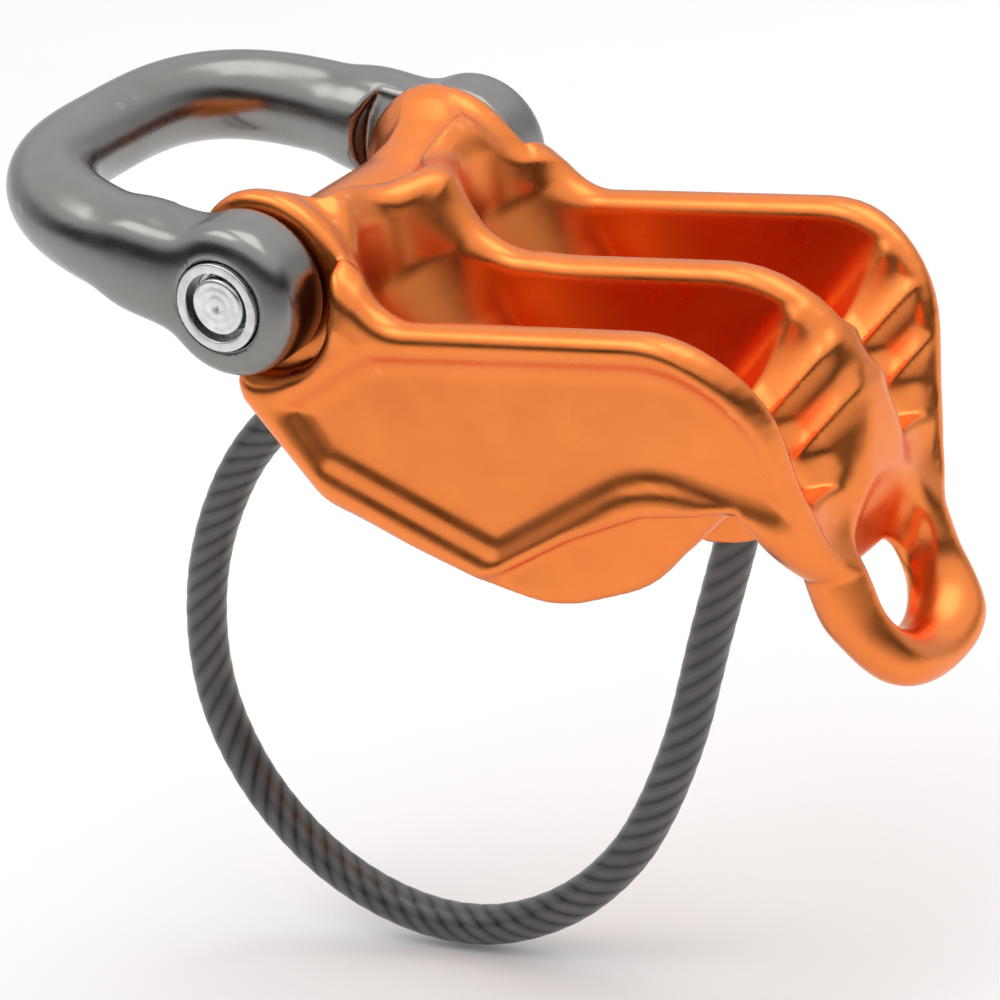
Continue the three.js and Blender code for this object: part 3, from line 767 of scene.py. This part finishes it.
def make_cable():
    """The sleeve drawn tight over a stranded wire, whose strands show as a helix."""
    route = smooth_route([(x, 0.0, z) for x, z in CABLE_ROUTE], CABLE_STEPS)
    ahead = np.gradient(route, axis=0)
    ahead /= np.linalg.norm(ahead, axis=1)[:, None]
    across = np.tile((0.0, 1.0, 0.0), (CABLE_STEPS, 1))
    out = np.cross(ahead, across)
    run = np.concatenate([[0], np.cumsum(np.linalg.norm(np.diff(route, axis=0), axis=1))])
    angle = np.linspace(0, 2 * math.pi, CABLE_SIDES, endpoint=False)
    twisted = angle[None, :] - 2 * math.pi * run[:, None] / LAY_LENGTH
    strand = np.abs(np.cos(STRANDS * twisted / 2)) ** STRAND_FULLNESS
    wires = 0.5 + 0.5 * np.cos(STRANDS * WIRES_A_STRAND * twisted)
    radius = CABLE_RADIUS - STRAND_RELIEF * (1 - strand)
    ring = np.cos(angle)[None, :, None] * across[:, None, :]
    ring = ring + np.sin(angle)[None, :, None] * out[:, None, :]
    points = (route[:, None, :] + ring * radius[:, :, None]).reshape(-1, 3)
    points = np.vstack([points, route[:1], route[-1:]])
    i = np.arange(CABLE_STEPS - 1)[:, None] * CABLE_SIDES
    k = np.arange(CABLE_SIDES)[None, :]
    n = (k + 1) % CABLE_SIDES
    faces = [i + k, i + n, i + n + CABLE_SIDES, i + k + CABLE_SIDES]
    cable = new_object("keeper_loop", points * MM, np.stack(faces, axis=-1).reshape(-1, 4))
    close_ends(cable)
    for label, values in (("strand", strand), ("wires", wires)):
        layer = cable.data.attributes.new(label, "FLOAT", "POINT")
        layer.data.foreach_set("value", np.append(values.ravel(), (1.0, 1.0)).astype(np.float32))
    return cable, route * MM, float(run[-1]) * MM


def close_ends(cable):
    """Fans of triangles over both ends, round the two middle points that come last in the mesh."""
    base = (CABLE_STEPS - 1) * CABLE_SIDES
    first, last = base + CABLE_SIDES, base + CABLE_SIDES + 1
    bm = bmesh.new()
    bm.from_mesh(cable.data)
    bm.verts.ensure_lookup_table()
    for near, far in ((0, first), (base, last)):
        for j in range(CABLE_SIDES):
            corners = (far, near + (j + 1) % CABLE_SIDES, near + j)
            bm.faces.new([bm.verts[i] for i in corners]).smooth = True
    bmesh.ops.recalc_face_normals(bm, faces=bm.faces)
    bm.to_mesh(cable.data)
    bm.free()


# ---------------------------------------------------------------- materials
FINE = 0.00003  # height of the finest grain, in metres


def shader(name, metallic, roughness):
    """A new material, its node tree and its shader."""
    mat = bpy.data.materials.new(name)
    mat.use_nodes = True
    bsdf = mat.node_tree.nodes["Principled BSDF"]
    bsdf.inputs["Metallic"].default_value = metallic
    bsdf.inputs["Roughness"].default_value = roughness
    return mat, mat.node_tree, bsdf


def node(tree, kind, settings=None, **sockets):
    """A new node, with each named socket linked to another socket or set to a value."""
    made = tree.nodes.new(kind)
    for key, value in (settings or {}).items():
        setattr(made, key, value)
    for key, value in sockets.items():
        socket = made.inputs[key.replace("_", " ")]
        if isinstance(value, bpy.types.NodeSocket):
            tree.links.new(value, socket)
        else:
            socket.default_value = value
    return made


def coordinates(tree):
    return tree.nodes.new("ShaderNodeTexCoord").outputs["Object"]


def noise(tree, scale, detail=3.0, roughness=0.55):
    """Noise in the object's own space, with about `scale` features a metre."""
    sockets = {"Vector": coordinates(tree), "Scale": scale, "Detail": detail, "Roughness": roughness}
    return node(tree, "ShaderNodeTexNoise", **sockets).outputs["Fac"]


def spread(tree, value, from_low, from_high, to_low, to_high):
    """Map a value from one range to another, clamped."""
    sockets = {"From_Min": from_low, "From_Max": from_high, "To_Min": to_low, "To_Max": to_high}
    return node(tree, "ShaderNodeMapRange", Value=value, **sockets).outputs["Result"]


def blend(tree, factor, low, high):
    """The colour low where the factor is 0 and high where it is 1."""
    made = tree.nodes.new("ShaderNodeMix")
    made.data_type = "RGBA"
    tree.links.new(factor, made.inputs["Factor"])
    for socket, value in ((made.inputs[6], low), (made.inputs[7], high)):
        if isinstance(value, bpy.types.NodeSocket):
            tree.links.new(value, socket)
        else:
            socket.default_value = (*value, 1)
    return made.outputs[2]


def math_node(tree, operation, a, b=0.0):
    """One sum on two values or sockets."""
    made = tree.nodes.new("ShaderNodeMath")
    made.operation = operation
    for socket, value in zip(made.inputs, (a, b)):
        if isinstance(value, bpy.types.NodeSocket):
            tree.links.new(value, socket)
        else:
            socket.default_value = value
    return made.outputs["Value"]


def bump(tree, height, strength, distance, normal=None):
    """The normal that a height gives, on top of another normal where one is given."""
    made = node(tree, "ShaderNodeBump", Height=height, Strength=strength, Distance=distance)
    if normal is not None:
        tree.links.new(normal, made.inputs["Normal"])
    return made.outputs["Normal"]


def anodised(name, deep, mid, edge_highlight, rough_low, rough_high, grain):
    """Tumbled, anodised forging: mottled colour, fine grain, a painted highlight on the sharp edges and
    painted shade in the concave creases.
    """
    mat, tree, bsdf = shader(name, 1.0, 0.3)
    mottle = spread(tree, noise(tree, 70, 4.0), 0.3, 0.7, 0, 1)
    color = blend(tree, mottle, deep, mid)
    sharpness = tree.nodes.new("ShaderNodeNewGeometry").outputs["Pointiness"]
    # painted highlight: the sharp convex edges get a paler colour, broken up by noise, for the bright
    # reflection along the rims
    edges = spread(tree, sharpness, 0.53, 0.62, 0, 0.55)
    painted_edge_highlight = math_node(tree, "MULTIPLY", edges, spread(tree, noise(tree, 420), 0.35, 0.65, 0.2, 1))
    color = blend(tree, painted_edge_highlight, color, edge_highlight)
    # painted shade: concave creases are darkened towards a quarter of the deep colour, broken up by noise
    corners = spread(tree, sharpness, 0.39, 0.46, 0.75, 0)
    painted_crease_shade = math_node(tree, "MULTIPLY", corners, spread(tree, noise(tree, 300), 0.3, 0.6, 0.6, 1))
    color = blend(tree, painted_crease_shade, color, tuple(0.25 * c for c in deep))
    tree.links.new(color, bsdf.inputs["Base Color"])
    rough = spread(tree, noise(tree, 260, 5.0, 0.65), 0.3, 0.7, rough_low, rough_high)
    tree.links.new(rough, bsdf.inputs["Roughness"])
    fine = bump(tree, noise(tree, 3600, 2.0), grain, FINE)
    tumbled = bump(tree, noise(tree, 520, 3.0), grain * 0.5, 4 * FINE, fine)
    tree.links.new(tumbled, bsdf.inputs["Normal"])
    return mat


def turned_steel(name, light, dark, rough_low, rough_high):
    """Faced in a lathe: fine rings about the pivot axis, with light scuffs."""
    mat, tree, bsdf = shader(name, 1.0, 0.25)
    split = node(tree, "ShaderNodeSeparateXYZ", Vector=coordinates(tree))
    squares = []
    for axis in ("X", "Z"):
        size = math_node(tree, "ABSOLUTE", split.outputs[axis])
        squares.append(math_node(tree, "POWER", size, 2.0))
    radius = math_node(tree, "SQRT", math_node(tree, "ADD", *squares))
    sockets = {"W": radius, "Scale": 14000.0, "Detail": 2.0}
    rings = node(tree, "ShaderNodeTexNoise", {"noise_dimensions": "1D"}, **sockets).outputs["Fac"]
    scuffs = spread(tree, noise(tree, 900, 5.0), 0.35, 0.7, 0, 1)
    tree.links.new(blend(tree, scuffs, light, dark), bsdf.inputs["Base Color"])
    rough = spread(tree, noise(tree, 600, 4.0), 0.3, 0.7, rough_low, rough_high)
    tree.links.new(rough, bsdf.inputs["Roughness"])
    normal = bump(tree, rings, 0.1, FINE)
    tree.links.new(bump(tree, scuffs, 0.12, FINE, normal), bsdf.inputs["Normal"])
    return mat


def sleeve(name, valley, ridge):
    """Smoky heat-shrunk sleeve; the strands and their wires show through it."""
    mat, tree, bsdf = shader(name, 0.0, 0.36)
    strand = node(tree, "ShaderNodeAttribute", {"attribute_name": "strand"}).outputs["Fac"]
    wires = node(tree, "ShaderNodeAttribute", {"attribute_name": "wires"}).outputs["Fac"]
    wires = spread(tree, wires, 0.2, 0.9, 0.8, 1)
    lit = math_node(tree, "MULTIPLY", spread(tree, strand, 0.35, 0.95, 0, 1), wires)
    lit = math_node(tree, "MULTIPLY", lit, spread(tree, noise(tree, 380, 4.0), 0.25, 0.75, 0.55, 1))
    tree.links.new(blend(tree, lit, valley, ridge), bsdf.inputs["Base Color"])
    rough = spread(tree, noise(tree, 500, 4.0), 0.3, 0.7, 0.3, 0.46)
    tree.links.new(rough, bsdf.inputs["Roughness"])
    bsdf.inputs["Coat Weight"].default_value = 0.25
    bsdf.inputs["Coat Roughness"].default_value = 0.3
    tree.links.new(bump(tree, noise(tree, 1500, 3.0), 0.12, 0.00004), bsdf.inputs["Normal"])
    return mat


def wire_steel(name, dark, light):
    """Drawn steel wire and pressed ferrules, with a coarse grain."""
    mat, tree, bsdf = shader(name, 1.0, 0.4)
    grain = noise(tree, 1400, 4.0)
    tree.links.new(blend(tree, grain, dark, light), bsdf.inputs["Base Color"])
    tree.links.new(spread(tree, grain, 0.3, 0.7, 0.3, 0.5), bsdf.inputs["Roughness"])
    tree.links.new(bump(tree, grain, 0.2, 0.00005), bsdf.inputs["Normal"])
    return mat


ORANGE = anodised(
    "anodised_orange", deep=(0.86, 0.232, 0.055), mid=(0.92, 0.262, 0.066), edge_highlight=(1.0, 0.44, 0.2),
    rough_low=0.25, rough_high=0.36, grain=0.10,
)
GUNMETAL = anodised(
    "anodised_gunmetal", deep=(0.23, 0.224, 0.214), mid=(0.29, 0.283, 0.272), edge_highlight=(0.42, 0.41, 0.40),
    rough_low=0.2, rough_high=0.3, grain=0.07,
)
PIN_STEEL = turned_steel("pin_steel", (0.86, 0.86, 0.85), (0.66, 0.66, 0.65), 0.2, 0.34)
BUSH_STEEL = turned_steel("bush_steel", (0.8, 0.8, 0.79), (0.62, 0.62, 0.61), 0.22, 0.34)
SLEEVE = sleeve("smoke_sleeve", valley=(0.018, 0.017, 0.016), ridge=(0.13, 0.127, 0.12))
WIRE = wire_steel("wire_steel", dark=(0.22, 0.22, 0.215), light=(0.5, 0.5, 0.49))


# ---------------------------------------------------------------- the pieces
def fit_piece(piece, material, replaced, rides_on):
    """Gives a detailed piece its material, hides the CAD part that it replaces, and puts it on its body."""
    piece.data.materials.append(material)
    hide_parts(replaced)
    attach(piece, rides_on)


cable, cable_route, cable_length = make_cable()
fit_piece(cable, SLEEVE, "cable_sheath", "root")
fit_piece(make_body(), ORANGE, "body", "root")
fit_piece(make_shackle(), GUNMETAL, "shackle", "shackle_swing")
for side, label in ((-1, "right"), (1, "left")):
    pin = make_pin(side, "stub_pin_" + label)
    fit_piece(pin, PIN_STEEL, "pivot_pin_" + label, "root")
    bush = make_bush(side, "bush_" + label)
    fit_piece(bush, BUSH_STEEL, "pivot_bush_" + label, "shackle_swing")
for kept in ("cable_core", "cable_ferrule_front", "cable_ferrule_rear"):
    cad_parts[kept].data.materials.clear()
    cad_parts[kept].data.materials.append(WIRE)


# ---------------------------------------------------------------- floor and light
FLOOR_HALF = 3.0  # metres, as are the other sizes in this section
FLOOR_GAP = 0.0005
PAPER_LIGHT, PAPER_LIGHTER = (0.94, 0.94, 0.94), (0.97, 0.97, 0.97)
# painted shade: the grey that the paper fades to in front of the object, for the metal to mirror
PAPER_PAINTED_SHADE = (0.5, 0.5, 0.5)
PAINTED_SHADE_FADE = (0.105, 0.22)  # how far in front of the object the paper's painted shade starts and stops fading in
TOWARDS_FRONT = (0.53, 0.85)  # the way that is in front, as shares of +X and -Y
LIGHT_AIM = (0.015, 0, -0.02)
STUDIO_WHITE, STUDIO_DARK = (1.0, 1.0, 1.0), (0.025, 0.025, 0.025)
STUDIO_STRENGTH = 0.98


def make_floor():
    """Pale paper that greys a little on the near side as painted shade, where the metal mirrors it."""
    size = FLOOR_HALF
    z = float(CAD_BOX[0][2]) - FLOOR_GAP
    corners = [(-size, -size, z), (size, -size, z), (size, size, z), (-size, size, z)]
    floor = new_object("floor", corners, [(0, 1, 2, 3)], False)
    mat, tree, bsdf = shader("floor_paper", 0.0, 0.7)
    split = node(tree, "ShaderNodeSeparateXYZ", Vector=coordinates(tree))
    right = math_node(tree, "MULTIPLY", split.outputs["X"], TOWARDS_FRONT[0])
    back = math_node(tree, "MULTIPLY", split.outputs["Y"], TOWARDS_FRONT[1])
    front = math_node(tree, "SUBTRACT", right, back)
    paper = blend(tree, noise(tree, 40), PAPER_LIGHT, PAPER_LIGHTER)
    # painted shade: the paper greys towards the front of the object
    paper = blend(tree, spread(tree, front, *PAINTED_SHADE_FADE, 0, 1), paper, PAPER_PAINTED_SHADE)
    tree.links.new(paper, bsdf.inputs["Base Color"])
    tree.links.new(bump(tree, noise(tree, 900), 0.05, 0.0001), bsdf.inputs["Normal"])
    floor.data.materials.append(mat)


def area_light(name, place, size, power):
    """A soft rectangular light that looks at the object."""
    data = bpy.data.lights.new(name, "AREA")
    data.shape = "RECTANGLE"
    data.size, data.size_y = size
    data.energy = power
    light = bpy.data.objects.new(name, data)
    bpy.context.scene.collection.objects.link(light)
    light.location = place
    light.rotation_euler = (Vector(LIGHT_AIM) - Vector(place)).to_track_quat("-Z", "Y").to_euler()


def make_world():
    """A white studio with a darker band low down, darkest on the near side, for the metal to mirror."""
    world = bpy.data.worlds.new("studio")
    world.use_nodes = True
    tree = world.node_tree
    direction = tree.nodes.new("ShaderNodeTexCoord").outputs["Generated"]
    split = node(tree, "ShaderNodeSeparateXYZ", Vector=direction)
    under = spread(tree, split.outputs["Z"], 0.32, 0.5, 1, 0)
    over = spread(tree, split.outputs["Z"], -0.1, 0.02, 0, 1)
    band = math_node(tree, "MULTIPLY", under, over)
    half_right = math_node(tree, "MULTIPLY", split.outputs["X"], 0.5)
    toward = math_node(tree, "SUBTRACT", half_right, split.outputs["Y"])
    near = spread(tree, toward, -0.5, 0.3, 0.35, 1)
    dark = math_node(tree, "MULTIPLY", band, near)
    background = tree.nodes["Background"]
    color = blend(tree, dark, STUDIO_WHITE, STUDIO_DARK)
    tree.links.new(color, background.inputs["Color"])
    background.inputs["Strength"].default_value = STUDIO_STRENGTH
    bpy.context.scene.world = world


make_floor()
area_light("key", (-0.18, -0.22, 0.5), (0.34, 0.26), 0.45)
area_light("top", (0.12, 0.1, 0.6), (0.5, 0.4), 0.9)
make_world()
bpy.context.scene.view_settings.view_transform = "Standard"
